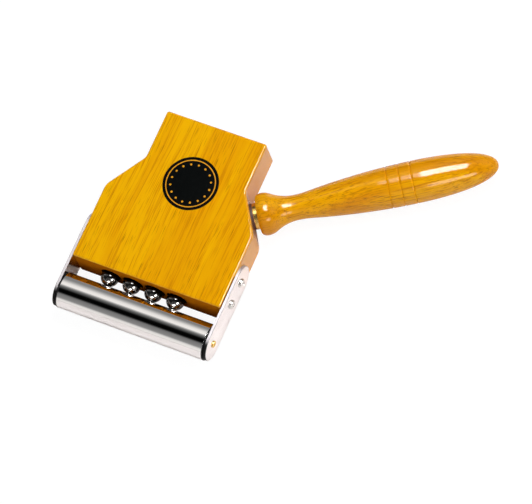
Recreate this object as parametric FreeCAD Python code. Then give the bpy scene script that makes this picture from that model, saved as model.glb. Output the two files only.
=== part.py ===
# A hand-held ball rattle, lying on its back face.
#
# A flat wooden block, wide in front and necked behind, is drilled from its front face with a row of
# blind holes. A loose steel ball runs in each hole. Two steel straps, one screwed to each side of
# the block, carry a brass axle across the front, and a steel tube with plastic end caps turns on it.
# The tube keeps the balls in their holes, and they strike it when the block is shaken. A turned
# wooden handle stands square on the right shoulder, on a brass ferrule over a fibre washer.
#
# Frame, in millimetres: X runs along the tube, towards the handle; Y runs from the tube to the neck;
# Z points up. The origin is the centre of the block's back face, half-way along its length.
import FreeCAD, Part
import math
import os

Vector = FreeCAD.Vector

# ---- Wooden block ----
BLOCK_WIDTH = 112.8            # across the wide front end
BLOCK_LENGTH = 120.8           # front face to the end of the neck
BLOCK_THICKNESS = 27.5
SIDE_LENGTH = 55.9             # straight side behind the front face
NECK_WIDTH = 76.4
SHOULDER_ANGLE = 33.0          # degrees between the shoulder's normal and the X axis
FRONT_CORNER_RADIUS = 1.8
SHOULDER_RADIUS = 11.0         # where a side turns into its shoulder
NECK_ROOT_RADIUS = 7.0         # where a shoulder turns into the neck
NECK_CORNER_RADIUS = 1.7
EDGE_ROUND = 1.4               # along the top and back edges

# ---- Balls and their holes ----
BALL_COUNT = 4
BALL_DIAMETER = 12.7
BALL_PITCH = 16.7
BALL_ROW_OFFSET = -4.1         # the row's middle, from the block's centre line
BALL_HOLE_DEPTH = 22.0
BALL_HOLE_CLEARANCE = 0.3      # radial
BALL_TUBE_CLEARANCE = 0.3      # from a ball at rest to the tube

# ---- Tube, its end caps and the axle ----
TUBE_DIAMETER = 25.4
TUBE_WALL = 1.2
STRIKE_GAP = 8.95              # from the block's front face to the tube
CAP_FLANGE = 0.8               # thickness of the flange that shows outside the tube
CAP_DEPTH = 7.0                # how far a cap reaches into the tube
CAP_WALL = 1.8
CAP_WEB = 2.0                  # thickness of the disc between a cap's wall and its hub
CAP_HUB_DIAMETER = 11.0
CAP_CHAMFER = 0.25
AXLE_DIAMETER = 5.0
AXLE_PROUD = 0.9               # how far each end stands out of its strap
AXLE_CHAMFER = 0.5
AXLE_DIMPLE_DIAMETER = 2.4
AXLE_DIMPLE_DEPTH = 0.9
AXLE_CLEARANCE = 0.1           # radial, in the caps and the spacers
SPACER_DIAMETER = 10.0
SPACER_THICKNESS = 0.5
ROLLER_END_PLAY = 0.15         # between each spacer and its cap

# ---- Straps and their screws ----
STRAP_WIDTH = 24.2
STRAP_THICKNESS = 2.0
STRAP_ON_BLOCK = 37.5          # how far a strap reaches back along the block's side
STRAP_EDGE_CHAMFER = 0.25
SCREW_FRONT_INSET = 8.9        # front screw, from the block's front face
SCREW_SHANK_DIAMETER = 3.5
SCREW_SHANK_LENGTH = 14.0
SCREW_POINT_LENGTH = 2.6
SCREW_HEAD_DIAMETER = 6.6
SCREW_HEAD_HEIGHT = 2.0
SCREW_HEAD_RIM = 0.8           # the straight part of the head, below its dome
RECESS_LENGTH = 3.6            # tip to tip of the cross recess
RECESS_WIDTH = 0.8
RECESS_DEPTH = 1.2

# ---- Handle, measured along its axis from the shoulder ----
HANDLE_FROM_NECK = 13.6        # axis, along the shoulder from the neck's root corner
HANDLE_REACH = 172.0           # shoulder to the handle's tip
BULB_DIAMETER = 29.6
BULB_STATION = 9.2
BULB_FACE_DIAMETER = 24.4      # flat face against the ferrule
WAIST_DIAMETER = 17.6
WAIST_STATION = 31.0
GRIP_DIAMETER = 29.6
GRIP_STATION = 114.0
GROOVE_COUNT = 3
GROOVE_PITCH = 8.5
GROOVE_STATION = 104.5         # the middle groove
GROOVE_WIDTH = 1.0
GROOVE_DEPTH = 0.5
WASHER_DIAMETER = 18.2
WASHER_THICKNESS = 1.6
FERRULE_DIAMETER = 18.6
FERRULE_THICKNESS = 2.9
FERRULE_CHAMFER = 0.4
STUD_DIAMETER = 6.0
STUD_IN_BLOCK = 25.0
STUD_IN_HANDLE = 28.0
STUD_POINT_LENGTH = 3.0

# The handle's bends are two arcs each, level at both stations. The first arc takes this share of the
# stretch, and the second takes the rest.
BULB_TO_WAIST_SHARE = 0.277
WAIST_TO_GRIP_SHARE = 0.12
# The bulb's face and the tip are rounded off by curves that are level at one end and upright at the
# other. The shares say how long each curve keeps to its two end directions.
BULB_ROUND_SHARES = (0.55, 0.55)
TIP_ROUND_SHARES = (0.65, 0.60)

# ---- Places worked out from the sizes above ----
FRONT = -BLOCK_LENGTH / 2
MID_Z = BLOCK_THICKNESS / 2
SIDE_X = BLOCK_WIDTH / 2
NECK_X = NECK_WIDTH / 2
SHOULDER_SLOPE = math.radians(SHOULDER_ANGLE)
NECK_ROOT_Y = FRONT + SIDE_LENGTH + (SIDE_X - NECK_X) / math.tan(SHOULDER_SLOPE)
HANDLE_SEAT = Vector(
    NECK_X + HANDLE_FROM_NECK * math.sin(SHOULDER_SLOPE),
    NECK_ROOT_Y - HANDLE_FROM_NECK * math.cos(SHOULDER_SLOPE),
    MID_Z,
)
HANDLE_AXIS = Vector(math.cos(SHOULDER_SLOPE), math.sin(SHOULDER_SLOPE), 0)
HANDLE_FACE = WASHER_THICKNESS + FERRULE_THICKNESS
TUBE_RADIUS = TUBE_DIAMETER / 2
AXLE_Y = FRONT - STRIKE_GAP - TUBE_RADIUS
BALL_RADIUS = BALL_DIAMETER / 2
BALL_HOLE_RADIUS = BALL_RADIUS + BALL_HOLE_CLEARANCE
BALL_Y = AXLE_Y + TUBE_RADIUS + BALL_TUBE_CLEARANCE + BALL_RADIUS
BALL_Z = MID_Z - BALL_HOLE_CLEARANCE / 2
STRAP_END_Y = FRONT + STRAP_ON_BLOCK - STRAP_WIDTH / 2
SCREW_STATIONS = {"front": FRONT + SCREW_FRONT_INSET, "rear": STRAP_END_Y}
SIDES = {"left": -1, "right": 1}
AXLE_BORE_RADIUS = AXLE_DIAMETER / 2 + AXLE_CLEARANCE
CAP_X = SIDE_X - SPACER_THICKNESS - ROLLER_END_PLAY     # outer face of the right cap
TUBE_END_X = CAP_X - CAP_FLANGE
OVERCUT = 1.0                                           # how far a cutter stands out of its piece


def along_x(side, x, y):
    """A place on the block's mid-plane and the outward direction on that side."""
    return Vector(side * x, y, MID_Z), Vector(side, 0, 0)


def placed(shape, at, axis):
    """Turn a shape made along +X so that it points along axis, and move its origin to at."""
    shape.Placement = FreeCAD.Placement(at, FreeCAD.Rotation(Vector(1, 0, 0), axis))
    return shape


def turned_edges(edges, at, axis):
    """Revolve a closed profile of edges, drawn as (distance, radius), about its own axis."""
    face = Part.Face(Part.Wire(edges))
    return placed(face.revolve(Vector(0, 0, 0), Vector(1, 0, 0), 360), at, axis)


def turned(profile, at, axis):
    """Revolve a closed polygon of (distance, radius) points about its own axis."""
    points = [Vector(distance, radius, 0) for distance, radius in profile]
    return turned_edges(Part.makePolygon(points + points[:1]).Edges, at, axis)


def ring(start, end, inner, outer, chamfer=0.0):
    """The polygon of a plain ring, with its two outer corners taken off."""
    return [
        (start, inner),
        (start, outer - chamfer),
        (start + chamfer, outer),
        (end - chamfer, outer),
        (end, outer - chamfer),
        (end, inner),
    ] if chamfer else [(start, inner), (start, outer), (end, outer), (end, inner)]


def rounded_outline(corners):
    """A closed wire through (x, y, radius) corners, each rounded to its own radius."""
    stretches = []
    for index, (x, y, radius) in enumerate(corners):
        corner = Vector(x, y, 0)
        before = (Vector(*corners[index - 1][:2], 0) - corner).normalize()
        after = (Vector(*corners[(index + 1) % len(corners)][:2], 0) - corner).normalize()
        half_angle = before.getAngle(after) / 2
        setback = radius / math.tan(half_angle)
        inward = (before + after).normalize()
        middle = corner + inward * (radius / math.sin(half_angle) - radius)
        stretches.append((corner + before * setback, middle, corner + after * setback))
    edges = []
    for index, (start, middle, end) in enumerate(stretches):
        edges.append(Part.Arc(start, middle, end).toShape())
        edges.append(Part.makeLine(end, stretches[(index + 1) % len(stretches)][0]))
    return Part.Wire(edges)


def level_edges(solid):
    """The edges that lie in a horizontal plane."""
    return [edge for edge in solid.Edges if edge.BoundBox.ZLength < 1e-6]


def ball_stations():
    """The X of each ball and its hole."""
    first = BALL_ROW_OFFSET - BALL_PITCH * (BALL_COUNT - 1) / 2
    return [first + BALL_PITCH * index for index in range(BALL_COUNT)]


# ---- Strap screws ----
def screw_shank(at, axis):
    """The pointed shank, from the strap's outer face inwards."""
    radius = SCREW_SHANK_DIAMETER / 2
    shoulder = SCREW_POINT_LENGTH - SCREW_SHANK_LENGTH
    return turned([(0, 0), (0, radius), (shoulder, radius), (-SCREW_SHANK_LENGTH, 0)], at, axis)


def strap_screw(at, axis):
    """A pan-head wood screw with a cross recess, its head seated at the given place."""
    radius = SCREW_HEAD_DIAMETER / 2
    dome = Part.Arc(
        Vector(SCREW_HEAD_RIM, radius, 0),
        Vector(SCREW_HEAD_RIM + 0.72 * (SCREW_HEAD_HEIGHT - SCREW_HEAD_RIM), 0.7 * radius, 0),
        Vector(SCREW_HEAD_HEIGHT, 0, 0),
    ).toShape()
    rim = Part.makePolygon([
        Vector(SCREW_HEAD_HEIGHT, 0, 0),
        Vector(0, 0, 0),
        Vector(0, radius, 0),
        Vector(SCREW_HEAD_RIM, radius, 0),
    ])
    head = turned_edges(rim.Edges + [dome], at, axis)
    screw = head.fuse(screw_shank(at, axis)).removeSplitter()
    floor = SCREW_HEAD_HEIGHT - RECESS_DEPTH
    for length, width in ((RECESS_LENGTH, RECESS_WIDTH), (RECESS_WIDTH, RECESS_LENGTH)):
        slot = Part.makeBox(
            RECESS_DEPTH + OVERCUT, length, width, Vector(floor, -length / 2, -width / 2)
        )
        screw = screw.cut(placed(slot, at, axis))
    return screw


def screw_places():
    """Each strap screw's name, seat and outward direction."""
    for side_name, side in SIDES.items():
        for row, y in SCREW_STATIONS.items():
            at, axis = along_x(side, SIDE_X + STRAP_THICKNESS, y)
            yield f"strap_screw_{side_name}_{row}", at, axis


# ---- Straps and axle ----
def strap(side):
    """A flat strap with round ends, drilled for its two screws and for the axle."""
    radius = STRAP_WIDTH / 2
    inner, outward = along_x(side, SIDE_X, 0)
    ends = [
        Part.makeCylinder(radius, STRAP_THICKNESS, Vector(inner.x, y, MID_Z), outward)
        for y in (AXLE_Y, STRAP_END_Y)
    ]
    bar = Part.makeBox(
        STRAP_THICKNESS,
        STRAP_END_Y - AXLE_Y,
        STRAP_WIDTH,
        Vector(min(inner.x, inner.x + side * STRAP_THICKNESS), AXLE_Y, MID_Z - radius),
    )
    plate = bar.multiFuse(ends).removeSplitter()
    outer_x = inner.x + side * STRAP_THICKNESS
    rim = [
        edge for edge in plate.Edges
        if edge.BoundBox.XLength < 1e-6 and abs(edge.BoundBox.XMin - outer_x) < 1e-6
    ]
    plate = plate.makeChamfer(STRAP_EDGE_CHAMFER, rim)
    holes = [(AXLE_Y, AXLE_DIAMETER / 2)]
    holes += [(y, SCREW_SHANK_DIAMETER / 2) for y in SCREW_STATIONS.values()]
    for y, hole_radius in holes:
        plate = plate.cut(
            Part.makeCylinder(hole_radius, STRAP_THICKNESS, Vector(inner.x, y, MID_Z), outward)
        )
    return plate


def axle():
    """The brass rod between the straps, with centre-drilled, chamfered ends."""
    end = SIDE_X + STRAP_THICKNESS + AXLE_PROUD
    radius = AXLE_DIAMETER / 2
    dimple = AXLE_DIMPLE_DIAMETER / 2
    half = [
        (end - AXLE_DIMPLE_DEPTH, 0),
        (end, dimple),
        (end, radius - AXLE_CHAMFER),
        (end - AXLE_CHAMFER, radius),
    ]
    mirrored = [(-distance, height) for distance, height in reversed(half)]
    return turned(half + mirrored, *along_x(1, 0, AXLE_Y))


def spacer(side):
    """The washer that keeps an end cap off its strap."""
    at, axis = along_x(side, SIDE_X, AXLE_Y)
    return turned(ring(-SPACER_THICKNESS, 0, AXLE_BORE_RADIUS, SPACER_DIAMETER / 2), at, axis)


# ---- Tube and end caps ----
def roller_tube():
    """The steel tube that the balls strike."""
    profile = ring(-TUBE_END_X, TUBE_END_X, TUBE_RADIUS - TUBE_WALL, TUBE_RADIUS)
    return turned(profile, *along_x(1, 0, AXLE_Y))


def end_cap(side):
    """A plastic plug: a flange over the tube's end, a wall inside the tube, a web and a hub."""
    wall_radius = TUBE_RADIUS - TUBE_WALL
    hub_radius = CAP_HUB_DIAMETER / 2
    inner_end = -CAP_FLANGE - CAP_DEPTH
    at, axis = along_x(side, CAP_X, AXLE_Y)
    return turned([
        (0, AXLE_BORE_RADIUS),
        (0, TUBE_RADIUS - CAP_CHAMFER),
        (-CAP_CHAMFER, TUBE_RADIUS),
        (-CAP_FLANGE, TUBE_RADIUS),
        (-CAP_FLANGE, wall_radius),
        (inner_end, wall_radius),
        (inner_end, wall_radius - CAP_WALL),
        (-CAP_WEB, wall_radius - CAP_WALL),
        (-CAP_WEB, hub_radius),
        (inner_end, hub_radius),
        (inner_end, AXLE_BORE_RADIUS),
    ], at, axis)


# ---- Handle ----
def level_bend(start, end, share):
    """Two tangent arcs between two (station, radius) points, level at both."""
    start, end = Vector(*start, 0), Vector(*end, 0)
    slope = math.atan2(end.y - start.y, end.x - start.x)
    join = start + (end - start) * share
    # An arc's sag is half its chord times the tangent of half the angle between chord and end.
    sag = Vector(-math.sin(slope), math.cos(slope), 0) * (math.tan(slope / 2) / 2)
    first_middle = (start + join) * 0.5 - sag * (join - start).Length
    second_middle = (join + end) * 0.5 + sag * (end - join).Length
    return [Part.Arc(start, first_middle, join), Part.Arc(join, second_middle, end)]


def quarter_round(level, upright, shares):
    """A curve that is level at one (station, radius) point and upright at the other."""
    curve = Part.BezierCurve()
    curve.setPoles([
        Vector(*level, 0),
        Vector(level[0] + (upright[0] - level[0]) * shares[0], level[1], 0),
        Vector(upright[0], upright[1] + (level[1] - upright[1]) * shares[1], 0),
        Vector(*upright, 0),
    ])
    return curve


def stud():
    """The threaded stud that joins the handle to the block, pointed at the block's end."""
    radius = STUD_DIAMETER / 2
    return turned([
        (-STUD_IN_BLOCK, 0),
        (STUD_POINT_LENGTH - STUD_IN_BLOCK, radius),
        (HANDLE_FACE + STUD_IN_HANDLE, radius),
        (HANDLE_FACE + STUD_IN_HANDLE, 0),
    ], HANDLE_SEAT, HANDLE_AXIS)


def handle():
    """The turned handle: a bulb, a waist and a long grip with three cut grooves."""
    face = (HANDLE_FACE, BULB_FACE_DIAMETER / 2)
    bulb = (BULB_STATION, BULB_DIAMETER / 2)
    waist = (WAIST_STATION, WAIST_DIAMETER / 2)
    grip = (GRIP_STATION, GRIP_DIAMETER / 2)
    tip = (HANDLE_REACH, 0)
    hollow, swell = level_bend(waist, grip, WAIST_TO_GRIP_SHARE)
    curves = [
        quarter_round(bulb, face, BULB_ROUND_SHARES),
        *level_bend(bulb, waist, BULB_TO_WAIST_SHARE),
        hollow,
        swell,
        quarter_round(grip, tip, TIP_ROUND_SHARES),
    ]
    foot = Vector(HANDLE_FACE, 0, 0)
    edges = [Part.makeLine(foot, Vector(*face, 0))]
    edges += [curve.toShape() for curve in curves]
    edges.append(Part.makeLine(Vector(*tip, 0), foot))
    solid = turned_edges(edges, HANDLE_SEAT, HANDLE_AXIS).cut(stud())
    for index in range(GROOVE_COUNT):
        station = GROOVE_STATION + GROOVE_PITCH * (index - (GROOVE_COUNT - 1) / 2)
        nearest = swell.parameter(Vector(station, GRIP_DIAMETER / 2, 0))
        radius = swell.value(nearest).y
        solid = solid.cut(turned([
            (station, radius - GROOVE_DEPTH),
            (station - GROOVE_WIDTH, radius + GROOVE_DEPTH),
            (station + GROOVE_WIDTH, radius + GROOVE_DEPTH),
        ], HANDLE_SEAT, HANDLE_AXIS))
    return solid


def handle_ferrule():
    """The brass ring under the bulb."""
    profile = ring(
        WASHER_THICKNESS, HANDLE_FACE, STUD_DIAMETER / 2, FERRULE_DIAMETER / 2, FERRULE_CHAMFER
    )
    return turned(profile, HANDLE_SEAT, HANDLE_AXIS)


def handle_washer():
    """The fibre washer between the ferrule and the shoulder."""
    profile = ring(0, WASHER_THICKNESS, STUD_DIAMETER / 2, WASHER_DIAMETER / 2)
    return turned(profile, HANDLE_SEAT, HANDLE_AXIS)


# ---- Block ----
def body_block():
    """The necked block, drilled for the balls, the strap screws and the stud."""
    side_end = FRONT + SIDE_LENGTH
    back = FRONT + BLOCK_LENGTH
    right = [
        (SIDE_X, FRONT, FRONT_CORNER_RADIUS),
        (SIDE_X, side_end, SHOULDER_RADIUS),
        (NECK_X, NECK_ROOT_Y, NECK_ROOT_RADIUS),
        (NECK_X, back, NECK_CORNER_RADIUS),
    ]
    left = [(-x, y, radius) for x, y, radius in reversed(right)]
    slab = Part.Face(rounded_outline(right + left)).extrude(Vector(0, 0, BLOCK_THICKNESS))
    block = slab.makeFillet(EDGE_ROUND, level_edges(slab))
    cutters = [
        Part.makeCylinder(
            BALL_HOLE_RADIUS,
            BALL_HOLE_DEPTH + OVERCUT,
            Vector(x, FRONT - OVERCUT, MID_Z),
            Vector(0, 1, 0),
        )
        for x in ball_stations()
    ]
    cutters += [screw_shank(at, axis) for _, at, axis in screw_places()]
    cutters.append(stud())
    return block.cut(cutters)


def build():
    """Every piece of the rattle, by name."""
    pieces = {
        "body_block": body_block(),
        "handle": handle(),
        "handle_ferrule": handle_ferrule(),
        "handle_washer": handle_washer(),
        "handle_stud": stud(),
        "axle": axle(),
        "roller_tube": roller_tube(),
    }
    for side_name, side in SIDES.items():
        pieces[f"strap_{side_name}"] = strap(side)
        pieces[f"spacer_{side_name}"] = spacer(side)
        pieces[f"end_cap_{side_name}"] = end_cap(side)
    for name, at, axis in screw_places():
        pieces[name] = strap_screw(at, axis)
    for number, x in enumerate(ball_stations(), start=1):
        pieces[f"ball_{number}"] = Part.makeSphere(BALL_RADIUS, Vector(x, BALL_Y, BALL_Z))
    return pieces


os.makedirs("parts", exist_ok=True)
for node, shape in build().items():
    solid = shape.Solids[0] if len(shape.Solids) == 1 else shape
    assert solid.isValid() and solid.Volume > 0, node
    solid.exportStep(f"parts/{node}.step")
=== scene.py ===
"""Looks of a hand-held ball rattle: a lacquered block, steel balls, a chrome tube and a turned handle.

Lengths are written in millimetres and made metres as a mesh or a mapping is built. The frame is the
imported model's: X along the tube towards the handle, Y from the tube to the block's neck, Z up.
"""
from __future__ import annotations

import logging
import math
from collections.abc import Iterable, Mapping, Sequence
from dataclasses import dataclass, field
from enum import Enum
from typing import Any

import bmesh
import bpy
import numpy as np
from bpy.types import ColorRamp, ID, Material, Mesh, Node, NodeSocket, NodeTree, Object
from mathutils import Matrix, Vector


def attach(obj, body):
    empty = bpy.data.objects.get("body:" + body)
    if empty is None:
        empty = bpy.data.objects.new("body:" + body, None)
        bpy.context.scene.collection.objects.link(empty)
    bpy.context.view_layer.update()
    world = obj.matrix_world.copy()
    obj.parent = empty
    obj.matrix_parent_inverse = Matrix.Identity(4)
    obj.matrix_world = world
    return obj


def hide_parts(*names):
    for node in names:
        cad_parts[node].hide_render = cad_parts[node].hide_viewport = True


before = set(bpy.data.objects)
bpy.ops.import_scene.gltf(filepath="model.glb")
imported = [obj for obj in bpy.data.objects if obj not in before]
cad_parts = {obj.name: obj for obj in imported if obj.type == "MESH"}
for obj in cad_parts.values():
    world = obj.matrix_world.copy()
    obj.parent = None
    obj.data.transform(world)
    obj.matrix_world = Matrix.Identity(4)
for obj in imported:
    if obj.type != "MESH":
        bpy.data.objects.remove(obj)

Point = tuple[float, float, float]
Colour = tuple[float, float, float]
Pair = tuple[float, float]
Outline = list[Pair]

LOG = logging.getLogger("ball_rattle")
MM = 0.001
ALONG_X: Point = (1.0, 0.0, 0.0)
UPWARDS: Point = (0.0, 0.0, 1.0)
CREASE = 35.0  # degrees above which an edge stays sharp
GUARD = 1.5  # how far a guard point is from a rounded corner, in roundings

MIDDLE = 13.75  # the height of the block's middle, and of the tube's and the handle's axes
TUBE_Y = -82.05  # the tube's axis, and the middle of each strap's round front end
STRAP_REAR_Y = -35.0  # the middle of each strap's round rear end, and its rear screw
BALL_COUNT = 4
BALL_PITCH = 16.7
FIRST_BALL: Point = (-29.15, -62.7, 13.6)
HANDLE_SEAT: Point = (45.607, 12.1196, MIDDLE)
HANDLE_SLOPE = 33.0  # degrees from the tube's axis
ALONG_HANDLE: Point = (math.cos(math.radians(HANDLE_SLOPE)), math.sin(math.radians(HANDLE_SLOPE)), 0.0)


# ---- node trees


class Term:
    """One output socket of a tree. Python's operators on it add Math nodes."""

    def __init__(self, board: Board, socket: NodeSocket) -> None:
        """Hold a socket and the board it belongs to."""
        self.board = board
        self.socket = socket

    def maths(self, operation: str, *others: Term | float) -> Term:
        """The result of a Math node that starts from this term; others are its next operands."""
        operands = dict(enumerate((self, *others)))
        return self.board.term(self.board.node("ShaderNodeMath", operands, {"operation": operation}))

    def __add__(self, other: Term | float) -> Term:
        """self + other."""
        return self.maths("ADD", other)

    __radd__ = __add__

    def __sub__(self, other: Term | float) -> Term:
        """self - other."""
        return self.maths("SUBTRACT", other)

    def __rsub__(self, other: float) -> Term:
        """other - self."""
        return self.maths("MULTIPLY_ADD", -1.0, other)

    def __mul__(self, other: Term | float) -> Term:
        """self * other."""
        return self.maths("MULTIPLY", other)

    def __truediv__(self, other: Term | float) -> Term:
        """self / other."""
        return self.maths("DIVIDE", other)

    def __mod__(self, other: Term | float) -> Term:
        """Remainder of self after whole steps of other."""
        return self.maths("FLOORED_MODULO", other)

    def __abs__(self) -> Term:
        """The size of self without its sign."""
        return self.maths("ABSOLUTE")

    def whole(self) -> Term:
        """Self rounded down."""
        return self.maths("FLOOR")

    def hypot(self, other: Term) -> Term:
        """The distance that self and other, at right angles, add up to."""
        return (self * self + other * other).maths("SQRT")

    def rise(self, low: float, high: float) -> Term:
        """A smooth step of self, 0 up to low and 1 from high on."""
        sockets = {"Value": self, "From Min": low, "From Max": high}
        node = self.board.node("ShaderNodeMapRange", sockets, {"interpolation_type": "SMOOTHSTEP"})
        return self.board.term(node, "Result")

    def fall(self, low: float, high: float) -> Term:
        """A smooth step down, from 1 at low to 0 at high."""
        return 1.0 - self.rise(low, high)

    def mix(self, first: Term | Colour, second: Term | Colour) -> Term:
        """The first colour where self is 0, the second where it is 1."""
        pair = [c if isinstance(c, Term) else (*c, 1.0) for c in (first, second)]
        sockets = {"Factor": self, "A": pair[0], "B": pair[1]}
        node = self.board.node("ShaderNodeMix", sockets, {"data_type": "RGBA", "clamp_factor": True})
        return self.board.term(node, "Result")


class Board:
    """A node tree being wired."""

    def __init__(self, tree: NodeTree) -> None:
        """Start on an empty tree."""
        self.tree = tree
        tree.nodes.clear()

    @staticmethod
    def _pick(sockets: Iterable[NodeSocket], key: str | int) -> NodeSocket:
        """The socket in use with that name or number."""
        live = [s for s in sockets if s.enabled]
        return live[key] if isinstance(key, int) else next(s for s in live if s.name == key)

    def node(
        self,
        kind: str,
        sockets: Mapping[str | int, Any] | None = None,
        settings: Mapping[str, Any] | None = None,
    ) -> Node:
        """Add a node of any type.

        Args:
            kind: the node's type.
            sockets: a value, a Term or a socket for each input, by name or by number.
            settings: its properties, set first; "stops" are a ramp's (place, colour) pairs.

        Returns:
            The node.
        """
        made = self.tree.nodes.new(kind)
        for name, value in (settings or {}).items():
            if name == "stops":
                self._set_stops(made.color_ramp, value)
            else:
                setattr(made, name, value)
        for key, value in (sockets or {}).items():
            into = self._pick(made.inputs, key)
            if isinstance(value, Term):
                self.tree.links.new(value.socket, into)
            elif isinstance(value, NodeSocket):
                self.tree.links.new(value, into)
            else:
                into.default_value = value
        return made

    @staticmethod
    def _set_stops(ramp: ColorRamp, stops: Sequence[tuple[float, Colour]]) -> None:
        """Give a ramp its stops."""
        while len(ramp.elements) > 1:
            ramp.elements.remove(ramp.elements[-1])
        ramp.elements[0].position = stops[0][0]
        ramp.elements[0].color = (*stops[0][1], 1.0)
        for place, colour in stops[1:]:
            ramp.elements.new(place).color = (*colour, 1.0)

    def term(self, node: Node, output: str | int = 0) -> Term:
        """An output of a node, by name or number."""
        return Term(self, self._pick(node.outputs, output))

    def axes(self, vector: Term) -> tuple[Term, Term, Term]:
        """The three parts of a vector."""
        node = self.node("ShaderNodeSeparateXYZ", {0: vector})
        return self.term(node, 0), self.term(node, 1), self.term(node, 2)

    def joined(self, x: Term | float, y: Term | float, z: Term | float) -> Term:
        """A vector from its three parts."""
        return self.term(self.node("ShaderNodeCombineXYZ", {0: x, 1: y, 2: z}))


@dataclass(frozen=True)
class Lumps:
    """A noise whose lumps are about size long, in millimetres along X, Y and Z."""

    size: Point
    detail: float = 2.0
    roughness: float = 0.5

    def over(self, place: Term) -> Term:
        """The noise at a place in millimetres."""
        board, factors = place.board, tuple(1 / length for length in self.size)
        scaled = board.node("ShaderNodeVectorMath", {0: place, 1: factors}, {"operation": "MULTIPLY"})
        sockets = {"Vector": scaled.outputs[0], "Scale": 1.0}
        sockets |= {"Detail": self.detail, "Roughness": self.roughness}
        return board.term(board.node("ShaderNodeTexNoise", sockets), "Fac")


# ---- finishes


@dataclass(frozen=True)
class Finish:
    """What a surface is made of."""

    name: str

    def surface(self, board: Board) -> dict[str, Any]:
        """Sockets of the Principled shader, by name."""
        raise NotImplementedError

    def shader(self, board: Board) -> Node:
        """The shader node that the material ends in."""
        return board.node("ShaderNodeBsdfPrincipled", self.surface(board))

    def material(self) -> Material:
        """Make the material.

        Returns:
            A new material with its node tree.
        """
        made = bpy.data.materials.new(self.name)
        made.use_nodes = True
        board = Board(made.node_tree)
        board.node("ShaderNodeOutputMaterial", {"Surface": self.shader(board).outputs[0]})
        return made

    @staticmethod
    def places(board: Board, turn: float = 0.0, seat: Point = (0.0, 0.0, 0.0)) -> Term:
        """Places on the piece in millimetres.

        Args:
            board: the tree.
            turn: degrees the places are turned by, about Z.
            seat: the place that becomes the origin, in millimetres.

        Returns:
            The places as a vector.
        """
        sockets = {
            "Vector": board.node("ShaderNodeTexCoord").outputs["Object"],
            "Location": -(Matrix.Rotation(math.radians(turn), 3, "Z") @ Vector(seat)),
            "Rotation": (0.0, 0.0, math.radians(turn)),
            "Scale": (1 / MM,) * 3,
        }
        return board.term(board.node("ShaderNodeMapping", sockets, {"vector_type": "POINT"}))

    @staticmethod
    def relief(height: Term, depth: float) -> Term:
        """A bumped normal. Depth is how far a height of 1 stands up, in millimetres."""
        sockets = {"Strength": 1.0, "Distance": depth * MM, "Height": height}
        return height.board.term(height.board.node("ShaderNodeBump", sockets))


@dataclass(frozen=True)
class BlockFaces:
    """How the block's sides, ends, seams and ball holes differ from its two broad faces, with a painted
    sheen on the sides, painted shade low on the ends and painted shadow in the seams and ball holes.

    A span is where one face turns into the next, in millimetres; a height is counted from the middle.
    """

    # painted sheen: a paler tone on the sides stands in for the floor's reflection in their lacquer
    side_painted_sheen: Colour = (0.74, 0.34, 0.09)
    sheen_share: float = 0.85
    sheen_height: Pair = (12.35, 13.25)
    broad_height: Pair = (13.70, 13.745)
    broad_bareness: float = 0.96
    # the ends' end-grain colour, with painted shade that darkens it towards the bottom
    end_painted_shade: Colour = (0.11, 0.026, 0.001)
    end_high: Colour = (0.32, 0.092, 0.0015)
    end_shade_rise: Pair = (0.0, 26.0)
    end_y: Pair = (60.05, 60.35)
    corner_x: Pair = (54.5, 54.9)
    corner_y: Pair = (58.5, 59.0)
    corner_height: Pair = (12.4, 13.2)
    vessels: Lumps = Lumps((0.7, 4.0, 0.7), 1.0)
    vessel_edge: Pair = (0.45, 0.70)
    vessel_share: float = 0.4
    # painted shadow in the groove where each strap lies against the block
    seam_painted_shadow: Colour = (0.10, 0.02, 0.002)
    seam_x: Pair = (55.9, 56.25)
    seam_y: Pair = (-36.5, -35.5)
    # painted shadow inside the ball holes and in a thin ring round their mouths
    bore_painted_shadow: Colour = (0.012, 0.004, 0.001)
    bore_rim: Pair = (7.3, 7.8)
    bore_floor: Pair = (-38.0, -37.0)

    def ends(self, x: Term, y: Term, rim: Term) -> Term:
        """1 on the two ends and on the upright edges beside them. Rim is the height from the middle."""
        corner = abs(x).rise(*self.corner_x) * abs(y).rise(*self.corner_y) * rim.fall(*self.corner_height)
        return abs(y).rise(*self.end_y).maths("MAXIMUM", corner)

    def hole_shadow(self, x: Term, y: Term, z: Term) -> Term:
        """1 in the ball holes and on their rims, where painted shadow goes."""
        start, half = FIRST_BALL[0] - BALL_PITCH / 2, BALL_PITCH * BALL_COUNT / 2
        in_row = abs(x - (start + half)).maths("LESS_THAN", half)
        across = (x - start) % BALL_PITCH - BALL_PITCH / 2
        return in_row * across.hypot(z - FIRST_BALL[2]).fall(*self.bore_rim) * y.fall(*self.bore_floor)

    def over(self, place: Term, grain: Term, pore: Colour) -> tuple[Term, Term]:
        """Colour the whole block, painted sheen, shade and shadows included.

        Args:
            place: places on the block in millimetres.
            grain: the colour of its broad faces.
            pore: the colour of open pores.

        Returns:
            The colour, and the weight of the lacquer's mirror, which shows on the sides.
        """
        x, y, z = place.board.axes(place)
        rim = abs(z - MIDDLE)
        ends = self.ends(x, y, rim)
        # where the painted shadow beside the straps goes
        seams = abs(x).rise(*self.seam_x) * y.fall(*self.seam_y)
        vessels = self.vessels.over(place).rise(*self.vessel_edge)
        # painted shade: the end-grain colour darkens towards the bottom
        shade = z.rise(*self.end_shade_rise).mix(self.end_painted_shade, self.end_high)
        shade = (vessels * self.vessel_share).mix(shade, pore)
        # painted sheen on the sides
        colour = (rim.fall(*self.sheen_height) * self.sheen_share).mix(grain, self.side_painted_sheen)
        colour = ends.mix(seams.mix(colour, self.seam_painted_shadow), shade)
        # painted shadow in the ball holes
        colour = self.hole_shadow(x, y, z).mix(colour, self.bore_painted_shadow)
        lacquer = 1.0 - rim.rise(*self.broad_height) * self.broad_bareness
        return colour, lacquer * (1.0 - ends) * (1.0 - seams)


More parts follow.
